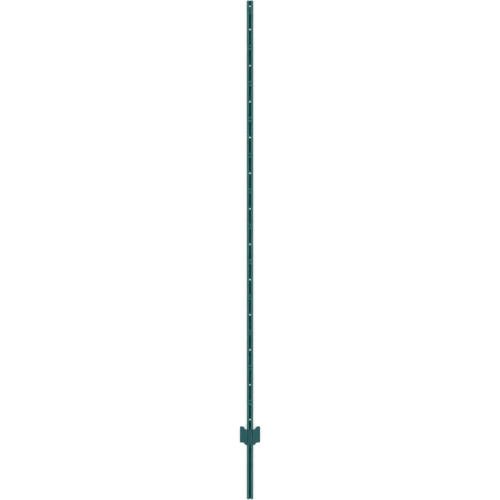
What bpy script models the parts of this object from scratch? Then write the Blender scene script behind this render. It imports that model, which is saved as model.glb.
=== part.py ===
"""Light-duty steel U-post for wire fencing, with a welded anchor plate, in metres.

The post lies on the back of its web with its open side up. X runs across the post,
Y runs along it towards its top end, and Z points out of the open side.
The origin is under the middle of the length, on the surface that the web rests on.
"""
import math

import bmesh
import bpy
from mathutils import Vector

# Post: one strip of sheet, punched, studded and rolled to a hat section
POST_LENGTH = 2.134
POST_WIDTH = 0.028
POST_DEPTH = 0.012
POST_SHEET = 0.0015
CHANNEL_GAP = 0.0082
POST_BEND_RADIUS = 0.0006
FLANGE_LEAN = math.radians(10)
FLANGE_CORNER_RADIUS = 0.005

# Round holes on the centre line of the web, counted down from the top end
HOLE_DIAMETER = 0.0065
TOP_HOLE_FROM_TOP = 0.0238
FIRST_HOLE_FROM_TOP = 0.1209
HOLE_PITCH = 0.1515
LAST_HOLE_TO_PLATE = 0.012

# Studs: cross ribs in pairs between the holes, pressed into the channel and hollow behind
STUD_TOP_LENGTH = 0.006
STUD_BELOW_CREST = 0.0015
STUD_SLOPE = math.radians(80)
STUD_BEND_RADIUS = 0.0008
STUD_CROWN_RADIUS = 0.012
STUD_CROWN_SWEEP = math.radians(26)
STUD_PAIR_GAP = 0.0019
STUD_PAIR_ABOVE_MIDDLE = 0.0007
STUD_HOLLOW_TO_BEND = 0.0001
STUD_SINK = 0.00005

# Anchor plate: one stamped blank with two beads that seat on the flanges
PLATE_WIDTH = 0.0877
PLATE_EAR_HEIGHT = 0.0711
PLATE_TOP_DROP = 0.0134
PLATE_BOTTOM_DROP = 0.0107
PLATE_EAR_TOP_FROM_BOTTOM = 0.3203
PLATE_SHEET = 0.0016
PLATE_BEND_RADIUS = 0.0005
EAR_CORNER_RADIUS = 0.003
SHOULDER_INNER_X = 0.0197
SHOULDER_OUTER_X = 0.0282
SHOULDER_RADIUS = 0.008
BEAD_FROM_FLANGE_EDGE = 0.0028
BEAD_DEPTH = 0.003
BEAD_FLAT = 0.0012
BEAD_WALL_ANGLE = math.radians(80)
SWEEP_FROM_BEAD = 0.003
WING_SWEEP = math.radians(4)

# Clearance where the plate seats on the flanges
SEAT_GAP = 0.0003

# Smoothness of the arcs, and how far a cutter reaches past what it cuts
BEND_STEP = math.radians(24)
OUTLINE_STEP = math.radians(12)
CROWN_STEP = math.radians(13.5)
HOLE_SIDES = 24
PAST = 0.002

# Places worked out from the sizes above
TOP_Y = POST_LENGTH / 2
BOTTOM_Y = -POST_LENGTH / 2
WALL_X = (CHANNEL_GAP + POST_SHEET) / 2
WEB_FLAT = CHANNEL_GAP - 2 * POST_BEND_RADIUS
STUD_RISE = POST_DEPTH - POST_SHEET - STUD_BELOW_CREST
STUD_HALF_RUN = STUD_TOP_LENGTH / 2 + STUD_RISE / math.tan(STUD_SLOPE)
STUD_HALF_FOOT = STUD_HALF_RUN + (POST_SHEET / 2 + STUD_BEND_RADIUS) * math.tan(STUD_SLOPE / 2)
STUD_PAIR_PITCH = 2 * STUD_HALF_FOOT + STUD_PAIR_GAP
EAR_TOP_Y = BOTTOM_Y + PLATE_EAR_TOP_FROM_BOTTOM


def clear_scene():
    for old in list(bpy.data.objects):
        bpy.data.objects.remove(old, do_unlink=True)


def painted_steel(name, colour, roughness):
    material = bpy.data.materials.new(name)
    material.use_nodes = True
    shader = material.node_tree.nodes["Principled BSDF"]
    shader.inputs["Base Color"].default_value = (*colour, 1.0)
    shader.inputs["Roughness"].default_value = roughness
    shader.inputs["Metallic"].default_value = 0.0
    return material


def filleted(corners, step):
    """Turn (x, y, radius) corners into points, with an arc at each corner that has a radius."""
    points = []
    for index, (x, y, radius) in enumerate(corners):
        here = Vector((x, y))
        if radius == 0:
            points.append(here)
            continue
        back = (Vector(corners[index - 1][:2]) - here).normalized()
        ahead = (Vector(corners[(index + 1) % len(corners)][:2]) - here).normalized()
        half = back.angle(ahead) / 2
        centre = here + (back + ahead).normalized() * radius / math.sin(half)
        start = here + back * radius / math.tan(half) - centre
        turn = math.pi - 2 * half
        if start.x * back.y - start.y * back.x > 0:
            turn = -turn
        pieces = max(2, math.ceil(abs(turn) / step))
        for piece in range(pieces + 1):
            angle = turn * piece / pieces
            c, s = math.cos(angle), math.sin(angle)
            points.append(centre + Vector((c * start.x - s * start.y, s * start.x + c * start.y)))
    return points


def sheet_sides(middle, thickness, inside_radius):
    """The two faces of a folded sheet as lines, from the corners of the line through its middle."""
    sides = ([], [])
    for index, corner in enumerate(middle):
        here = Vector(corner)
        before = here - Vector(middle[index - 1]) if index > 0 else None
        after = Vector(middle[index + 1]) - here if index < len(middle) - 1 else None
        first = (before or after).normalized()
        second = (after or before).normalized()
        left_first = Vector((-first.y, first.x))
        left_second = Vector((-second.y, second.x))
        mitre = (left_first + left_second) / (1 + left_first.dot(left_second))
        turn = first.x * second.y - first.y * second.x
        for side, sign in zip(sides, (1, -1)):
            radius = inside_radius if turn * sign > 0 else inside_radius + thickness
            if abs(turn) < 1e-9:
                radius = 0
            point = here + mitre * sign * thickness / 2
            side.append((point.x, point.y, radius))
    return [filleted(side, BEND_STEP) for side in sides]


def folded_sheet(middle, thickness, inside_radius):
    """Closed outline of a folded sheet."""
    left, right = sheet_sides(middle, thickness, inside_radius)
    return left + right[::-1]


def mirrored(half):
    """Continue a line that ends at the middle with its mirror image."""
    return [(-x, y) for x, y in half] + [(x, y) for x, y in reversed(half)]


def add_prism(bm, outline, direction, start, end):
    """Extrude an outline of points in 3D from start to end along a direction."""
    verts = [bm.verts.new(point + direction * start) for point in outline]
    face = bm.faces.new(verts)
    grown = bmesh.ops.extrude_face_region(bm, geom=[face])
    moved = [item for item in grown["geom"] if isinstance(item, bmesh.types.BMVert)]
    bmesh.ops.translate(bm, verts=moved, vec=direction * (end - start))


def section_prism(bm, outline, start_y, end_y):
    """A prism along the post, from an outline across it."""
    points = [Vector((p.x, 0, p.y)) for p in outline]
    add_prism(bm, points, Vector((0, 1, 0)), start_y, end_y)


def plan_prism(bm, outline, low_z, high_z):
    """An upright prism, from an outline seen from the open side."""
    points = [Vector((p.x, p.y, 0)) for p in outline]
    add_prism(bm, points, Vector((0, 0, 1)), low_z, high_z)


def cross_prism(bm, outline, centre_y, half_width):
    """A prism across the post, from an outline in its length and height."""
    points = [Vector((0, centre_y + p.x, p.y)) for p in outline]
    add_prism(bm, points, Vector((1, 0, 0)), -half_width, half_width)


def finish_object(name, bm, material=None):
    """Make an object from a bmesh. Without a material it is a hidden tool."""
    bmesh.ops.recalc_face_normals(bm, faces=bm.faces)
    mesh = bpy.data.meshes.new(name)
    bm.to_mesh(mesh)
    bm.free()
    thing = bpy.data.objects.new(name, mesh)
    bpy.context.collection.objects.link(thing)
    if material:
        mesh.materials.append(material)
    else:
        thing.hide_render = True
        thing.display_type = "WIRE"
    return thing


def combine(target, tool, operation):
    modifier = target.modifiers.new(tool.name, "BOOLEAN")
    modifier.operation = operation
    modifier.object = tool
    modifier.solver = "EXACT"


def flange_centre():
    """Centre of the bend between a wall and its flange, as (x, z)."""
    outside = POST_BEND_RADIUS + POST_SHEET
    return Vector((CHANNEL_GAP / 2 + outside, POST_DEPTH - outside))


def flange_front(x):
    """Height of a flange's front face at a distance from the middle."""
    centre = flange_centre()
    outside = POST_BEND_RADIUS + POST_SHEET
    return centre.y + (outside - (x - centre.x) * math.sin(FLANGE_LEAN)) / math.cos(FLANGE_LEAN)


def hat_section():
    """Outline across the strip before it is cut to width: flange, wall, web, wall, flange."""
    half_sheet = POST_SHEET / 2
    crest_z = flange_front(WALL_X) - half_sheet / math.cos(FLANGE_LEAN)
    tip_x = POST_WIDTH / 2 + PAST
    tip_z = crest_z - (tip_x - WALL_X) * math.tan(FLANGE_LEAN)
    half = [(tip_x, tip_z), (WALL_X, crest_z), (WALL_X, half_sheet)]
    return folded_sheet(mirrored(half), POST_SHEET, POST_BEND_RADIUS)


def hole_places():
    """Distances of the evenly spaced holes from the top end."""
    room = POST_LENGTH - PLATE_EAR_TOP_FROM_BOTTOM - LAST_HOLE_TO_PLATE - FIRST_HOLE_FROM_TOP
    count = 1 + math.floor(room / HOLE_PITCH)
    return [FIRST_HOLE_FROM_TOP + index * HOLE_PITCH for index in range(count)]


def stud_places():
    """Middles of the studs along Y, two for each hole."""
    lift = HOLE_PITCH / 2 + STUD_PAIR_ABOVE_MIDDLE
    pairs = [TOP_Y - place + lift for place in hole_places()]
    return [pair + side * STUD_PAIR_PITCH / 2 for pair in pairs for side in (1, -1)]


def make_holes():
    """Punches for the round holes in the web."""
    bm = bmesh.new()
    for place in [TOP_HOLE_FROM_TOP] + hole_places():
        outline = []
        for index in range(HOLE_SIDES):
            angle = 2 * math.pi * (index + 0.5) / HOLE_SIDES
            reach = HOLE_DIAMETER / 2
            outline.append(Vector((reach * math.cos(angle), TOP_Y - place + reach * math.sin(angle))))
        plan_prism(bm, outline, -PAST, POST_SHEET + PAST)
    return finish_object("hole_punches", bm)


def stud_faces():
    """Front and back face of a stud along the post, without the flat web beside it."""
    web = POST_SHEET / 2
    half = [
        (2 * STUD_HALF_FOOT, web),
        (STUD_HALF_RUN, web),
        (STUD_TOP_LENGTH / 2, web + STUD_RISE),
    ]
    faces = [face[1:-1] for face in sheet_sides(mirrored(half), POST_SHEET, STUD_BEND_RADIUS)]
    for face in faces:
        face[0].y -= STUD_SINK
        face[-1].y -= STUD_SINK
    return faces


def crown_outline(height, radius):
    """Outline across the channel of a deep block with an arched top."""
    pieces = math.ceil(2 * STUD_CROWN_SWEEP / CROWN_STEP)
    angles = [STUD_CROWN_SWEEP * (1 - 2 * index / pieces) for index in range(pieces + 1)]
    arch = [Vector((radius * math.sin(a), height - radius * (1 - math.cos(a)))) for a in angles]
    return arch + [Vector((arch[-1].x, -2 * PAST)), Vector((arch[0].x, -2 * PAST))]


def cut_to_crown(blocks, name, height, radius):
    """Give blocks in the channel an arched top."""
    bm = bmesh.new()
    section_prism(bm, crown_outline(height, radius), BOTTOM_Y, TOP_Y)
    combine(blocks, finish_object(name, bm), "INTERSECT")
    return blocks


def make_studs():
    """The studs as full blocks, from inside the web up to their front faces."""
    front = stud_faces()[0]
    root = POST_SHEET / 2
    outline = front + [Vector((front[-1].x, root)), Vector((front[0].x, root))]
    bm = bmesh.new()
    for y in stud_places():
        cross_prism(bm, outline, y, CHANNEL_GAP / 2 + POST_SHEET / 2)
    studs = finish_object("studs", bm)
    return cut_to_crown(studs, "stud_crown", POST_SHEET + STUD_RISE, STUD_CROWN_RADIUS)


def make_stud_hollows():
    """The hollows behind the studs, up to their back faces."""
    back = stud_faces()[1]
    outline = back + [Vector((back[-1].x, -PAST)), Vector((back[0].x, -PAST))]
    bm = bmesh.new()
    for y in stud_places():
        cross_prism(bm, outline, y, WEB_FLAT / 2 - STUD_HOLLOW_TO_BEND)
    hollows = finish_object("stud_hollows", bm)
    return cut_to_crown(hollows, "hollow_crown", STUD_RISE, STUD_CROWN_RADIUS - POST_SHEET)


def make_post_blank():
    """The strip's outline seen from the open side, with its four corners rounded."""
    side, radius = POST_WIDTH / 2, FLANGE_CORNER_RADIUS
    corners = [(side, TOP_Y), (side, BOTTOM_Y), (-side, BOTTOM_Y), (-side, TOP_Y)]
    bm = bmesh.new()
    plan_prism(bm, filleted([(x, y, radius) for x, y in corners], OUTLINE_STEP), -PAST, 2 * POST_DEPTH)
    return finish_object("post_blank", bm)


def make_post(material):
    bm = bmesh.new()
    section_prism(bm, hat_section(), BOTTOM_Y - PAST, TOP_Y + PAST)
    post = finish_object("post", bm, material)
    combine(post, make_post_blank(), "INTERSECT")
    combine(post, make_studs(), "UNION")
    combine(post, make_stud_hollows(), "DIFFERENCE")
    combine(post, make_holes(), "DIFFERENCE")
    return post


def plate_section():
    """Outline across the plate: swept wings, two beads and a flat land between them."""
    bead_x = POST_WIDTH / 2 - BEAD_FROM_FLANGE_EDGE
    bend_run = (PLATE_BEND_RADIUS + PLATE_SHEET / 2) * math.tan(BEAD_WALL_ANGLE / 2)
    floor_half = BEAD_FLAT / 2 + bend_run
    mouth_half = floor_half + BEAD_DEPTH / math.tan(BEAD_WALL_ANGLE)
    floor_z = flange_front(bead_x - BEAD_FLAT / 2) + SEAT_GAP + PLATE_SHEET / 2
    land_z = floor_z + BEAD_DEPTH
    sweep_x = bead_x + mouth_half + SWEEP_FROM_BEAD
    tip_x = PLATE_WIDTH / 2 + PAST
    tip_z = land_z - (tip_x - sweep_x) * math.tan(WING_SWEEP)
    half = [
        (tip_x, tip_z),
        (sweep_x, land_z),
        (bead_x + mouth_half, land_z),
        (bead_x + floor_half, floor_z),
        (bead_x - floor_half, floor_z),
        (bead_x - mouth_half, land_z),
    ]
    return folded_sheet(mirrored(half), PLATE_SHEET, PLATE_BEND_RADIUS)


def plate_blank():
    """Outline of the blank: ears that stand above the middle, and a middle that hangs below them."""
    side = PLATE_WIDTH / 2
    top, bottom = EAR_TOP_Y, EAR_TOP_Y - PLATE_EAR_HEIGHT
    right = [
        (SHOULDER_INNER_X, top - PLATE_TOP_DROP, SHOULDER_RADIUS),
        (SHOULDER_OUTER_X, top, SHOULDER_RADIUS),
        (side, top, EAR_CORNER_RADIUS),
        (side, bottom, EAR_CORNER_RADIUS),
        (SHOULDER_OUTER_X, bottom, SHOULDER_RADIUS),
        (SHOULDER_INNER_X, bottom - PLATE_BOTTOM_DROP, SHOULDER_RADIUS),
    ]
    left = [(-x, y, radius) for x, y, radius in reversed(right)]
    return filleted(right + left, OUTLINE_STEP)


def make_anchor_plate(material):
    above = EAR_TOP_Y + PAST
    below = EAR_TOP_Y - PLATE_EAR_HEIGHT - PLATE_BOTTOM_DROP - PAST
    bm = bmesh.new()
    section_prism(bm, plate_section(), below, above)
    plate = finish_object("anchor_plate", bm, material)
    bm = bmesh.new()
    plan_prism(bm, plate_blank(), 0, 2 * POST_DEPTH)
    combine(plate, finish_object("plate_blank", bm), "INTERSECT")
    return plate


def main():
    clear_scene()
    make_post(painted_steel("green_paint_post", (0.012, 0.10, 0.095), 0.38))
    make_anchor_plate(painted_steel("green_paint_plate", (0.012, 0.09, 0.09), 0.42))


main()
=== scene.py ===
"""Looks of the light-duty steel U-post: fine sheet surfaces, enamel, light, floor and camera."""
import math

import bmesh
import bpy
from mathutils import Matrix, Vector


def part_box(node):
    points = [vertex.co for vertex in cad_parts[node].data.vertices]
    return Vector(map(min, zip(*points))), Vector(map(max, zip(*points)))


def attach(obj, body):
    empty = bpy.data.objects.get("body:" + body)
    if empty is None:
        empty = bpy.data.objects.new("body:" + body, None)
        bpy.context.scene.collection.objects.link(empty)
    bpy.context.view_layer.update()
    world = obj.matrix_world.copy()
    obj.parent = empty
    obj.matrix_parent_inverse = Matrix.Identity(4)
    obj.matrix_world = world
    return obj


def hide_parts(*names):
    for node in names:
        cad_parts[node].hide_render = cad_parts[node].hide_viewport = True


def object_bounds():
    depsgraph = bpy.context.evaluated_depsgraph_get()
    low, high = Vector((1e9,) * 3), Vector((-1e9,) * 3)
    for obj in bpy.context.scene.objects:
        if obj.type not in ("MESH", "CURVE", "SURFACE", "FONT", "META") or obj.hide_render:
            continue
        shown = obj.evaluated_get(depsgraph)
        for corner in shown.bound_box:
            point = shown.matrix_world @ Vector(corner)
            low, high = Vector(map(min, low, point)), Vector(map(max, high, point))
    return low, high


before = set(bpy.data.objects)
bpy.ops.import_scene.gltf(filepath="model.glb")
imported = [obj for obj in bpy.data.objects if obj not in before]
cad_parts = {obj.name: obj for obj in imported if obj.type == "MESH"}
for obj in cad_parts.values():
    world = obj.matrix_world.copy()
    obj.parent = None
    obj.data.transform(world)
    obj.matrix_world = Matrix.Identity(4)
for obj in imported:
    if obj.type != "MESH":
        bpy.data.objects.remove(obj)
cad_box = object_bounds()
post_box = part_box("post")
plate_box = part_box("anchor_plate")

# Camera: it looks down on the lying post, leaning so that the top end is a little nearer
CAMERA_DISTANCE = 6.0
CAMERA_TILT = math.radians(4.2)
CAMERA_AIM_Y = 0.0134
CAMERA_AIM_Z = 0.012
SEEN_LENGTH = 2.1376
SENSOR = 36.0
CLIP_START = 0.05

# Long soft boxes on both sides of the post and one beyond each end, at angles from straight above
SIDE_BOX_ANGLE = math.radians(45)
SIDE_BOX_DISTANCE = 3.0
SIDE_BOX_SIZE = (0.95, 5.0)
SIDE_BOX_POWER = 81.0
END_BOX_ANGLE = math.radians(62)
END_BOX_DISTANCE = 6.0
END_BOX_SIZE = (3.0, 2.0)
END_BOX_POWER = 25.0

# Studio round them: pale walls under a dark ceiling, with the walls' tops as sines of the elevation
CEILING_LEVEL = 0.0
WALL_LEVEL = 1.0
WALL_TOP_LOW = 0.35
WALL_TOP_HIGH = 0.6

# Floor: its glow is what the camera and reflections see on top of the light that falls on it
FLOOR_SIZE = 60.0
FLOOR_DROP = 0.0002
FLOOR_GLOW = 0.72
FLOOR_COLOUR = (0.36, 0.36, 0.36)

# Enamel: linear colours, gloss, and a bump for roll streaks and for orange peel
POST_PAINT = (0.002, 0.119, 0.114)
PLATE_PAINT = (0.002, 0.079, 0.086)
SHADE_SPREAD = 0.1
SHADE_SCALE = 260.0
POST_ROUGHNESS = 0.40
PLATE_ROUGHNESS = 0.42
ROUGHNESS_SPREAD = 0.05
ROUGHNESS_SCALE = 55.0
COAT_WEIGHT = 0.5
COAT_ROUGHNESS = 0.4
STREAK_SCALE = 900.0
STREAK_SQUEEZE = 0.04
STREAK_STRENGTH = 0.06
STREAK_HEIGHT = 0.0002
PEEL_SCALE = 650.0
PEEL_STRENGTH = 0.1
PEEL_HEIGHT = 0.0003
BROAD_GRAIN = {"Detail": 4.0, "Roughness": 0.6}
FINE_GRAIN = {"Detail": 2.0, "Roughness": 0.5}

# Painted shade down in the plate's two beads, where shadow falls: a factor on the paint, and how far it
# reaches from a bead's middle
PAINTED_BEAD_SHADE = 0.2
PAINTED_SHADE_HALF_WIDTH = 0.0012
PAINTED_SHADE_FADE = 0.001

# Section of the post, as the CAD solid has it
POST_WIDTH = post_box[1][0] - post_box[0][0]
TOP_Y = post_box[1][1]
BOTTOM_Y = post_box[0][1]
POST_DEPTH = 0.012
POST_SHEET = 0.0015
CHANNEL_GAP = 0.0082
POST_BEND_RADIUS = 0.0006
FLANGE_LEAN = math.radians(10)
FLANGE_CORNER_RADIUS = 0.005
WALL_X = (CHANNEL_GAP + POST_SHEET) / 2
WEB_FLAT = CHANNEL_GAP - 2 * POST_BEND_RADIUS

# Holes and studs along the web
HOLE_DIAMETER = 0.0065
TOP_HOLE_FROM_TOP = 0.0238
FIRST_HOLE_FROM_TOP = 0.1209
HOLE_PITCH = 0.1515
HOLE_COUNT = 12
STUD_TOP_LENGTH = 0.006
STUD_BELOW_CREST = 0.0015
STUD_SLOPE = math.radians(80)
STUD_BEND_RADIUS = 0.0008
STUD_CROWN_RADIUS = 0.012
STUD_CROWN_SWEEP = math.radians(26)
STUD_PAIR_GAP = 0.0019
STUD_PAIR_ABOVE_MIDDLE = 0.0007
STUD_HOLLOW_TO_BEND = 0.0001
STUD_SINK = 0.00005
STUD_RISE = POST_DEPTH - POST_SHEET - STUD_BELOW_CREST
STUD_HALF_RUN = STUD_TOP_LENGTH / 2 + STUD_RISE / math.tan(STUD_SLOPE)
STUD_HALF_FOOT = STUD_HALF_RUN + (POST_SHEET / 2 + STUD_BEND_RADIUS) * math.tan(STUD_SLOPE / 2)
STUD_PAIR_PITCH = 2 * STUD_HALF_FOOT + STUD_PAIR_GAP

# Anchor plate
PLATE_WIDTH = plate_box[1][0] - plate_box[0][0]
EAR_TOP_Y = plate_box[1][1]
PLATE_EAR_HEIGHT = 0.0711
PLATE_TOP_DROP = 0.0134
PLATE_BOTTOM_DROP = 0.0107
PLATE_SHEET = 0.0016
PLATE_BEND_RADIUS = 0.0005
EAR_CORNER_RADIUS = 0.003
SHOULDER_INNER_X = 0.0197
SHOULDER_OUTER_X = 0.0282
SHOULDER_RADIUS = 0.008
BEAD_FROM_FLANGE_EDGE = 0.0028
BEAD_X = POST_WIDTH / 2 - BEAD_FROM_FLANGE_EDGE
BEAD_DEPTH = 0.003
BEAD_FLAT = 0.0012
BEAD_WALL_ANGLE = math.radians(80)
SWEEP_FROM_BEAD = 0.003
WING_SWEEP = math.radians(4)
SEAT_GAP = 0.0003

# Fineness of the visible surfaces, and the rounding of the sheared edges
BEND_STEP = math.radians(9)
OUTLINE_STEP = math.radians(6)
CROWN_STEP = math.radians(4.5)
HOLE_SIDES = 48
EDGE_ROUNDING = 0.00025
ROUNDING_SEGMENTS = 2
ROUNDED_FROM = math.radians(60)
SHARP_FROM = math.radians(35)

# Working margins: how far cutters reach past what they cut, the narrowest face kept, the least turn
PAST = 0.002
BLANK_HEIGHT = 2 * POST_DEPTH
SLIVER = 0.000001
LEAST_TURN = 1e-9


def filleted(corners, step):
    """Turn (x, y, radius) corners into points, with an arc at each corner that has a radius."""
    points = []
    for index, (x, y, radius) in enumerate(corners):
        here = Vector((x, y))
        if radius == 0:
            points.append(here)
            continue
        back = (Vector(corners[index - 1][:2]) - here).normalized()
        ahead = (Vector(corners[(index + 1) % len(corners)][:2]) - here).normalized()
        half = back.angle(ahead) / 2
        centre = here + (back + ahead).normalized() * radius / math.sin(half)
        start = here + back * radius / math.tan(half) - centre
        turn = math.pi - 2 * half
        if start.x * back.y - start.y * back.x > 0:
            turn = -turn
        pieces = max(2, math.ceil(abs(turn) / step))
        for piece in range(pieces + 1):
            angle = turn * piece / pieces
            c, s = math.cos(angle), math.sin(angle)
            points.append(centre + Vector((c * start.x - s * start.y, s * start.x + c * start.y)))
    return points


def sheet_sides(middle, thickness, inside_radius):
    """The two faces of a folded sheet as lines, from the corners of the line through its middle."""
    sides = ([], [])
    for index, corner in enumerate(middle):
        here = Vector(corner)
        before = here - Vector(middle[index - 1]) if index > 0 else None
        after = Vector(middle[index + 1]) - here if index < len(middle) - 1 else None
        first = (before or after).normalized()
        second = (after or before).normalized()
        left_first = Vector((-first.y, first.x))
        left_second = Vector((-second.y, second.x))
        mitre = (left_first + left_second) / (1 + left_first.dot(left_second))
        turn = first.x * second.y - first.y * second.x
        for side, sign in zip(sides, (1, -1)):
            radius = inside_radius if turn * sign > 0 else inside_radius + thickness
            if abs(turn) < LEAST_TURN:
                radius = 0
            point = here + mitre * sign * thickness / 2
            side.append((point.x, point.y, radius))
    return [filleted(side, BEND_STEP) for side in sides]


def folded_sheet(middle, thickness, inside_radius):
    """Closed outline of a folded sheet."""
    left, right = sheet_sides(middle, thickness, inside_radius)
    return left + right[::-1]


def mirrored(half):
    """Continue a line that ends at the middle with its mirror image."""
    return [(-x, y) for x, y in half] + [(x, y) for x, y in reversed(half)]


def add_prism(bm, outline, direction, start, end):
    """Extrude an outline of points in 3D from start to end along a direction."""
    verts = [bm.verts.new(point + direction * start) for point in outline]
    face = bm.faces.new(verts)
    grown = bmesh.ops.extrude_face_region(bm, geom=[face])
    moved = [item for item in grown["geom"] if isinstance(item, bmesh.types.BMVert)]
    bmesh.ops.translate(bm, verts=moved, vec=direction * (end - start))


def section_prism(bm, outline, start_y, end_y):
    """A prism along the post, from an outline across it."""
    add_prism(bm, [Vector((p.x, 0, p.y)) for p in outline], Vector((0, 1, 0)), start_y, end_y)


def plan_prism(bm, outline, low_z, high_z):
    """An upright prism, from an outline seen from the open side."""
    add_prism(bm, [Vector((p.x, p.y, 0)) for p in outline], Vector((0, 0, 1)), low_z, high_z)


def cross_prism(bm, outline, centre_y, half_width):
    """A prism across the post, from an outline in its length and height."""
    points = [Vector((0, centre_y + p.x, p.y)) for p in outline]
    add_prism(bm, points, Vector((1, 0, 0)), -half_width, half_width)


def new_object(name, bm):
    """An object in the scene with the finished mesh."""
    bmesh.ops.recalc_face_normals(bm, faces=bm.faces)
    mesh = bpy.data.meshes.new(name)
    bm.to_mesh(mesh)
    bm.free()
    thing = bpy.data.objects.new(name, mesh)
    bpy.context.collection.objects.link(thing)
    return thing


def combine(target, tool, operation):
    """Join, cut or trim an object by another, which is then taken away."""
    modifier = target.modifiers.new(tool.name, "BOOLEAN")
    modifier.operation = operation
    modifier.object = tool
    modifier.solver = "EXACT"
    settle(target)
    bpy.data.objects.remove(tool, do_unlink=True)


def settle(thing):
    """Apply an object's modifiers to its mesh."""
    seen = thing.evaluated_get(bpy.context.evaluated_depsgraph_get())
    mesh = bpy.data.meshes.new_from_object(seen)
    thing.modifiers.clear()
    thing.data = mesh


def soften_edges(thing):
    """Round the sheared edges a little, as enamel does, clear slivers and shade flat faces flat."""
    bevel = thing.modifiers.new("sheared_edges", "BEVEL")
    bevel.width = EDGE_ROUNDING
    bevel.segments = ROUNDING_SEGMENTS
    bevel.limit_method = "ANGLE"
    bevel.angle_limit = ROUNDED_FROM
    settle(thing)
    bm = bmesh.new()
    bm.from_mesh(thing.data)
    bmesh.ops.dissolve_degenerate(bm, dist=SLIVER, edges=bm.edges)
    bm.to_mesh(thing.data)
    bm.free()
    thing.data.shade_smooth()
    thing.data.set_sharp_from_angle(angle=SHARP_FROM)
    weighted = thing.modifiers.new("flat_faces", "WEIGHTED_NORMAL")
    weighted.keep_sharp = True


def flange_centre():
    """Centre of the bend between a wall and its flange, as (x, z)."""
    outside = POST_BEND_RADIUS + POST_SHEET
    return Vector((CHANNEL_GAP / 2 + outside, POST_DEPTH - outside))


def flange_front(x):
    """Height of a flange's front face at a distance from the middle."""
    centre = flange_centre()
    outside = POST_BEND_RADIUS + POST_SHEET
    return centre.y + (outside - (x - centre.x) * math.sin(FLANGE_LEAN)) / math.cos(FLANGE_LEAN)


def hat_section():
    """Outline across the strip before it is cut to width: flange, wall, web, wall, flange."""
    half_sheet = POST_SHEET / 2
    crest_z = flange_front(WALL_X) - half_sheet / math.cos(FLANGE_LEAN)
    tip_x = POST_WIDTH / 2 + PAST
    tip_z = crest_z - (tip_x - WALL_X) * math.tan(FLANGE_LEAN)
    half = [(tip_x, tip_z), (WALL_X, crest_z), (WALL_X, half_sheet)]
    return folded_sheet(mirrored(half), POST_SHEET, POST_BEND_RADIUS)


def hole_places():
    """Distances of the evenly spaced holes from the top end."""
    return [FIRST_HOLE_FROM_TOP + index * HOLE_PITCH for index in range(HOLE_COUNT)]


def stud_places():
    """Middles of the studs along Y, two for each hole."""
    lift = HOLE_PITCH / 2 + STUD_PAIR_ABOVE_MIDDLE
    pairs = [TOP_Y - place + lift for place in hole_places()]
    return [pair + side * STUD_PAIR_PITCH / 2 for pair in pairs for side in (1, -1)]


def stud_faces():
    """Front and back face of a stud along the post, without the flat web beside it."""
    web = POST_SHEET / 2
    half = [
        (2 * STUD_HALF_FOOT, web),
        (STUD_HALF_RUN, web),
        (STUD_TOP_LENGTH / 2, web + STUD_RISE),
    ]
    faces = [face[1:-1] for face in sheet_sides(mirrored(half), POST_SHEET, STUD_BEND_RADIUS)]
    for face in faces:
        face[0].y -= STUD_SINK
        face[-1].y -= STUD_SINK
    return faces


def crown_outline(height, radius):
    """Outline across the channel of a deep block with an arched top."""
    pieces = math.ceil(2 * STUD_CROWN_SWEEP / CROWN_STEP)
    angles = [STUD_CROWN_SWEEP * (1 - 2 * index / pieces) for index in range(pieces + 1)]
    arch = [Vector((radius * math.sin(a), height - radius * (1 - math.cos(a)))) for a in angles]
    return arch + [Vector((arch[-1].x, -2 * PAST)), Vector((arch[0].x, -2 * PAST))]


def crown_block(name, height, radius):
    """A block along the whole channel with an arched top, which trims what is under it."""
    bm = bmesh.new()
    section_prism(bm, crown_outline(height, radius), BOTTOM_Y, TOP_Y)
    return new_object(name, bm)


def round_hole(from_top):
    """Outline of a hole in the web at a distance from the top end."""
    reach = HOLE_DIAMETER / 2
    angles = [2 * math.pi * (side + 0.5) / HOLE_SIDES for side in range(HOLE_SIDES)]
    return [Vector((reach * math.cos(a), TOP_Y - from_top + reach * math.sin(a))) for a in angles]


def make_post():
    """The post: a rolled strip cut to its outline, with pressed studs and punched holes."""
    bm = bmesh.new()
    section_prism(bm, hat_section(), BOTTOM_Y - PAST, TOP_Y + PAST)
    post = new_object("post_sheet", bm)

    front, back = stud_faces()
    front += [Vector((front[-1].x, POST_SHEET / 2)), Vector((front[0].x, POST_SHEET / 2))]
    back += [Vector((back[-1].x, -PAST)), Vector((back[0].x, -PAST))]
    studs, hollows, holes, blank = (bmesh.new() for _ in range(4))
    for y in stud_places():
        cross_prism(studs, front, y, CHANNEL_GAP / 2 + POST_SHEET / 2)
        cross_prism(hollows, back, y, WEB_FLAT / 2 - STUD_HOLLOW_TO_BEND)
    for place in [TOP_HOLE_FROM_TOP] + hole_places():
        plan_prism(holes, round_hole(place), -PAST, POST_SHEET + PAST)
    side = POST_WIDTH / 2
    corners = [(side, TOP_Y), (side, BOTTOM_Y), (-side, BOTTOM_Y), (-side, TOP_Y)]
    outline = filleted([(x, y, FLANGE_CORNER_RADIUS) for x, y in corners], OUTLINE_STEP)
    plan_prism(blank, outline, -PAST, BLANK_HEIGHT)

    combine(post, new_object("post_blank", blank), "INTERSECT")
    studs = new_object("studs", studs)
    combine(studs, crown_block("stud_crown", POST_SHEET + STUD_RISE, STUD_CROWN_RADIUS), "INTERSECT")
    combine(post, studs, "UNION")
    hollows = new_object("stud_hollows", hollows)
    combine(hollows, crown_block("hollow_crown", STUD_RISE, STUD_CROWN_RADIUS - POST_SHEET), "INTERSECT")
    combine(post, hollows, "DIFFERENCE")
    combine(post, new_object("hole_punches", holes), "DIFFERENCE")
    soften_edges(post)
    return post


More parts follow.
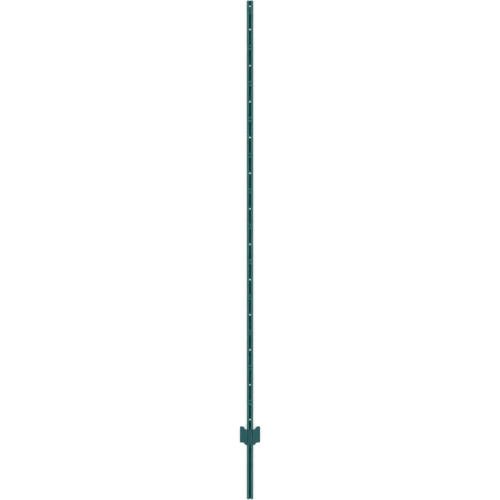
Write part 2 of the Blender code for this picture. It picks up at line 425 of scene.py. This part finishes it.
def plate_section():
    """Outline across the plate: swept wings, two beads and a flat land between them."""
    bend_run = (PLATE_BEND_RADIUS + PLATE_SHEET / 2) * math.tan(BEAD_WALL_ANGLE / 2)
    floor_half = BEAD_FLAT / 2 + bend_run
    mouth_half = floor_half + BEAD_DEPTH / math.tan(BEAD_WALL_ANGLE)
    floor_z = flange_front(BEAD_X - BEAD_FLAT / 2) + SEAT_GAP + PLATE_SHEET / 2
    land_z = floor_z + BEAD_DEPTH
    sweep_x = BEAD_X + mouth_half + SWEEP_FROM_BEAD
    tip_x = PLATE_WIDTH / 2 + PAST
    tip_z = land_z - (tip_x - sweep_x) * math.tan(WING_SWEEP)
    half = [
        (tip_x, tip_z),
        (sweep_x, land_z),
        (BEAD_X + mouth_half, land_z),
        (BEAD_X + floor_half, floor_z),
        (BEAD_X - floor_half, floor_z),
        (BEAD_X - mouth_half, land_z),
    ]
    return folded_sheet(mirrored(half), PLATE_SHEET, PLATE_BEND_RADIUS)


def plate_blank():
    """Outline of the blank: its lower edge is its upper edge moved down."""
    side = PLATE_WIDTH / 2
    top, bottom = EAR_TOP_Y, EAR_TOP_Y - PLATE_EAR_HEIGHT
    right = [
        (SHOULDER_INNER_X, top - PLATE_TOP_DROP, SHOULDER_RADIUS),
        (SHOULDER_OUTER_X, top, SHOULDER_RADIUS),
        (side, top, EAR_CORNER_RADIUS),
        (side, bottom, EAR_CORNER_RADIUS),
        (SHOULDER_OUTER_X, bottom, SHOULDER_RADIUS),
        (SHOULDER_INNER_X, bottom - PLATE_BOTTOM_DROP, SHOULDER_RADIUS),
    ]
    left = [(-x, y, radius) for x, y, radius in reversed(right)]
    return filleted(right + left, OUTLINE_STEP)


def make_plate():
    """The anchor plate: a folded sheet cut to the outline of its blank."""
    above = EAR_TOP_Y + PAST
    below = EAR_TOP_Y - PLATE_EAR_HEIGHT - PLATE_BOTTOM_DROP - PAST
    bm = bmesh.new()
    section_prism(bm, plate_section(), below, above)
    plate = new_object("plate_sheet", bm)
    blank = bmesh.new()
    plan_prism(blank, plate_blank(), 0, BLANK_HEIGHT)
    combine(plate, new_object("plate_blank", blank), "INTERSECT")
    soften_edges(plate)
    return plate


def node(tree, kind, **inputs):
    """A new node with the given values on its sockets."""
    made = tree.nodes.new(kind)
    for name, value in inputs.items():
        made.inputs[name].default_value = value
    return made


def maths(tree, operation, first, second=None):
    """One step of arithmetic on sockets, or on a socket and a number."""
    made = tree.nodes.new("ShaderNodeMath")
    made.operation = operation
    tree.links.new(first, made.inputs[0])
    if isinstance(second, float):
        made.inputs[1].default_value = second
    elif second is not None:
        tree.links.new(second, made.inputs[1])
    return made.outputs["Value"]


def map_range(tree, value, source, target, interpolation="LINEAR"):
    """Turn one range of a value into another, each as (low, high)."""
    ends = {"From Min": source[0], "From Max": source[1], "To Min": target[0], "To Max": target[1]}
    made = node(tree, "ShaderNodeMapRange", **ends)
    made.interpolation_type = interpolation
    tree.links.new(value, made.inputs["Value"])
    return made.outputs["Result"]


def noise(tree, vector, scale, grain):
    """Noise of a scale over the surface, with the grain of its finer layers."""
    made = node(tree, "ShaderNodeTexNoise", Scale=scale, **grain)
    tree.links.new(vector, made.inputs["Vector"])
    return made.outputs["Fac"]


def uneven(tree, colour, along):
    """A colour that is a little darker and lighter in streaks along the sheet."""
    mix = tree.nodes.new("ShaderNodeMix")
    mix.data_type = "RGBA"
    mix.inputs["A"].default_value = (*(c * (1 - SHADE_SPREAD) for c in colour), 1)
    mix.inputs["B"].default_value = (*(c * (1 + SHADE_SPREAD) for c in colour), 1)
    tree.links.new(noise(tree, along, SHADE_SCALE, BROAD_GRAIN), mix.inputs["Factor"])
    return mix.outputs["Result"]


def with_painted_bead_shade(tree, colour, place):
    """A colour that is darker down in the plate's two beads: painted shade, standing in for the shadow in
    their hollows.
    """
    split = tree.nodes.new("ShaderNodeSeparateXYZ")
    tree.links.new(place, split.inputs["Vector"])
    from_middle = maths(tree, "ABSOLUTE", split.outputs["X"])
    from_bead = maths(tree, "ABSOLUTE", maths(tree, "SUBTRACT", from_middle, BEAD_X))
    reach = (PAINTED_SHADE_HALF_WIDTH, PAINTED_SHADE_HALF_WIDTH + PAINTED_SHADE_FADE)
    dark = tree.nodes.new("ShaderNodeVectorMath")
    dark.operation = "SCALE"
    tree.links.new(colour, dark.inputs["Vector"])
    tree.links.new(map_range(tree, from_bead, reach, (PAINTED_BEAD_SHADE, 1.0)), dark.inputs["Scale"])
    return dark.outputs["Vector"]


def relief(tree, place, along):
    """Normal of the enamel: faint roll streaks of the sheet under orange peel."""
    streaks = node(tree, "ShaderNodeBump", Strength=STREAK_STRENGTH, Distance=STREAK_HEIGHT)
    tree.links.new(noise(tree, along, STREAK_SCALE, FINE_GRAIN), streaks.inputs["Height"])
    peel = node(tree, "ShaderNodeBump", Strength=PEEL_STRENGTH, Distance=PEEL_HEIGHT)
    tree.links.new(noise(tree, place, PEEL_SCALE, FINE_GRAIN), peel.inputs["Height"])
    tree.links.new(streaks.outputs["Normal"], peel.inputs["Normal"])
    return peel.outputs["Normal"]


def enamel(name, paint, roughness, paint_bead_shade=False):
    """Gloss enamel over rolled steel, with painted shade in the beads where the sheet has them."""
    material = bpy.data.materials.new(name)
    material.use_nodes = True
    tree = material.node_tree
    shader = tree.nodes["Principled BSDF"]
    shader.inputs["Coat Weight"].default_value = COAT_WEIGHT
    shader.inputs["Coat Roughness"].default_value = COAT_ROUGHNESS

    place = tree.nodes.new("ShaderNodeTexCoord").outputs["Object"]
    squeeze = node(tree, "ShaderNodeMapping", Scale=(1.0, STREAK_SQUEEZE, 1.0))
    tree.links.new(place, squeeze.inputs["Vector"])
    along = squeeze.outputs["Vector"]

    colour = uneven(tree, paint, along)
    # Painted shade: the paint is darkened along the beads, where their hollows would be in shadow
    if paint_bead_shade:
        colour = with_painted_bead_shade(tree, colour, place)
    tree.links.new(colour, shader.inputs["Base Color"])
    gloss = noise(tree, place, ROUGHNESS_SCALE, BROAD_GRAIN)
    limits = (roughness - ROUGHNESS_SPREAD, roughness + ROUGHNESS_SPREAD)
    tree.links.new(map_range(tree, gloss, (0.0, 1.0), limits), shader.inputs["Roughness"])
    tree.links.new(relief(tree, place, along), shader.inputs["Normal"])
    return material


def dress(piece, node_name, material):
    """Let a piece stand for its CAD node, in its material."""
    piece.data.materials.clear()
    piece.data.materials.append(material)
    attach(piece, "root")
    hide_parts(node_name)


def make_camera():
    """A camera above the post, framed so that the picture's height takes in SEEN_LENGTH of it."""
    camera = bpy.data.objects.new("camera", bpy.data.cameras.new("camera"))
    bpy.context.collection.objects.link(camera)
    away = Vector((0, math.sin(CAMERA_TILT), math.cos(CAMERA_TILT)))
    camera.location = Vector((0, CAMERA_AIM_Y, CAMERA_AIM_Z)) + away * CAMERA_DISTANCE
    camera.rotation_euler = (-CAMERA_TILT, 0, 0)
    camera.data.sensor_width = SENSOR
    camera.data.lens = SENSOR * CAMERA_DISTANCE / (SEEN_LENGTH * math.cos(CAMERA_TILT))
    camera.data.clip_start = CLIP_START
    bpy.context.scene.camera = camera


def make_soft_box(name, direction, upper_side, distance, size, power):
    """A rectangle of light that faces the origin and stays out of the camera's sight."""
    lamp = bpy.data.lights.new(name, "AREA")
    lamp.shape = "RECTANGLE"
    lamp.size, lamp.size_y = size
    lamp.energy = power
    box = bpy.data.objects.new(name, lamp)
    bpy.context.collection.objects.link(box)
    box.location = direction * distance
    box.rotation_euler = direction.to_track_quat("Z", upper_side).to_euler()
    box.visible_camera = False


def make_lights():
    """One long soft box on each side of the post, and a wide one beyond each end."""
    for name, side in (("left", -1), ("right", 1)):
        direction = Vector((side * math.sin(SIDE_BOX_ANGLE), 0, math.cos(SIDE_BOX_ANGLE)))
        make_soft_box("soft_box_" + name, direction, "X", SIDE_BOX_DISTANCE, SIDE_BOX_SIZE, SIDE_BOX_POWER)
    for name, side in (("top", 1), ("bottom", -1)):
        direction = Vector((0, side * math.sin(END_BOX_ANGLE), math.cos(END_BOX_ANGLE)))
        make_soft_box("end_box_" + name, direction, "Y", END_BOX_DISTANCE, END_BOX_SIZE, END_BOX_POWER)


def seen_directly(tree):
    """1 for rays from the camera, from mirrors and through glass, and 0 for the light itself."""
    path = tree.nodes.new("ShaderNodeLightPath")
    reflected = maths(tree, "MAXIMUM", path.outputs["Is Camera Ray"], path.outputs["Is Glossy Ray"])
    return maths(tree, "MAXIMUM", reflected, path.outputs["Is Transmission Ray"])


def white_floor():
    """Matt pale grey that takes shadows, with a glow that brings it to white where it is seen."""
    material = bpy.data.materials.new("floor")
    material.use_nodes = True
    tree = material.node_tree
    tree.nodes.remove(tree.nodes["Principled BSDF"])
    matt = node(tree, "ShaderNodeBsdfDiffuse", Color=(*FLOOR_COLOUR, 1))
    glow = tree.nodes.new("ShaderNodeEmission")
    tree.links.new(maths(tree, "MULTIPLY", seen_directly(tree), FLOOR_GLOW), glow.inputs["Strength"])
    add = tree.nodes.new("ShaderNodeAddShader")
    tree.links.new(matt.outputs[0], add.inputs[0])
    tree.links.new(glow.outputs[0], add.inputs[1])
    tree.links.new(add.outputs[0], tree.nodes["Material Output"].inputs["Surface"])
    return material


def make_floor():
    """The floor that the post lies on."""
    half = FLOOR_SIZE / 2
    mesh = bpy.data.meshes.new("floor")
    corners = [(-half, -half, 0), (half, -half, 0), (half, half, 0), (-half, half, 0)]
    mesh.from_pydata(corners, [], [(0, 1, 2, 3)])
    mesh.materials.append(white_floor())
    floor = bpy.data.objects.new("floor", mesh)
    floor.location.z = cad_box[0][2] - FLOOR_DROP
    bpy.context.collection.objects.link(floor)


def make_world():
    """Pale walls all round under a dark ceiling."""
    world = bpy.data.worlds.new("world")
    bpy.context.scene.world = world
    world.use_nodes = True
    tree = world.node_tree
    place = tree.nodes.new("ShaderNodeTexCoord")
    split = tree.nodes.new("ShaderNodeSeparateXYZ")
    tree.links.new(place.outputs["Generated"], split.inputs["Vector"])
    tops = (WALL_TOP_LOW, WALL_TOP_HIGH)
    level = map_range(tree, split.outputs["Z"], tops, (WALL_LEVEL, CEILING_LEVEL), "SMOOTHSTEP")
    light = tree.nodes["Background"]
    light.inputs["Color"].default_value = (1, 1, 1, 1)
    tree.links.new(level, light.inputs["Strength"])


bpy.context.scene.view_settings.view_transform = "Standard"
post_enamel = enamel("green_enamel_post", POST_PAINT, POST_ROUGHNESS)
# The plate's enamel carries painted shade along its beads
plate_enamel = enamel("green_enamel_plate", PLATE_PAINT, PLATE_ROUGHNESS, paint_bead_shade=True)
dress(make_post(), "post", post_enamel)
dress(make_plate(), "anchor_plate", plate_enamel)
make_camera()
make_lights()
make_floor()
make_world()
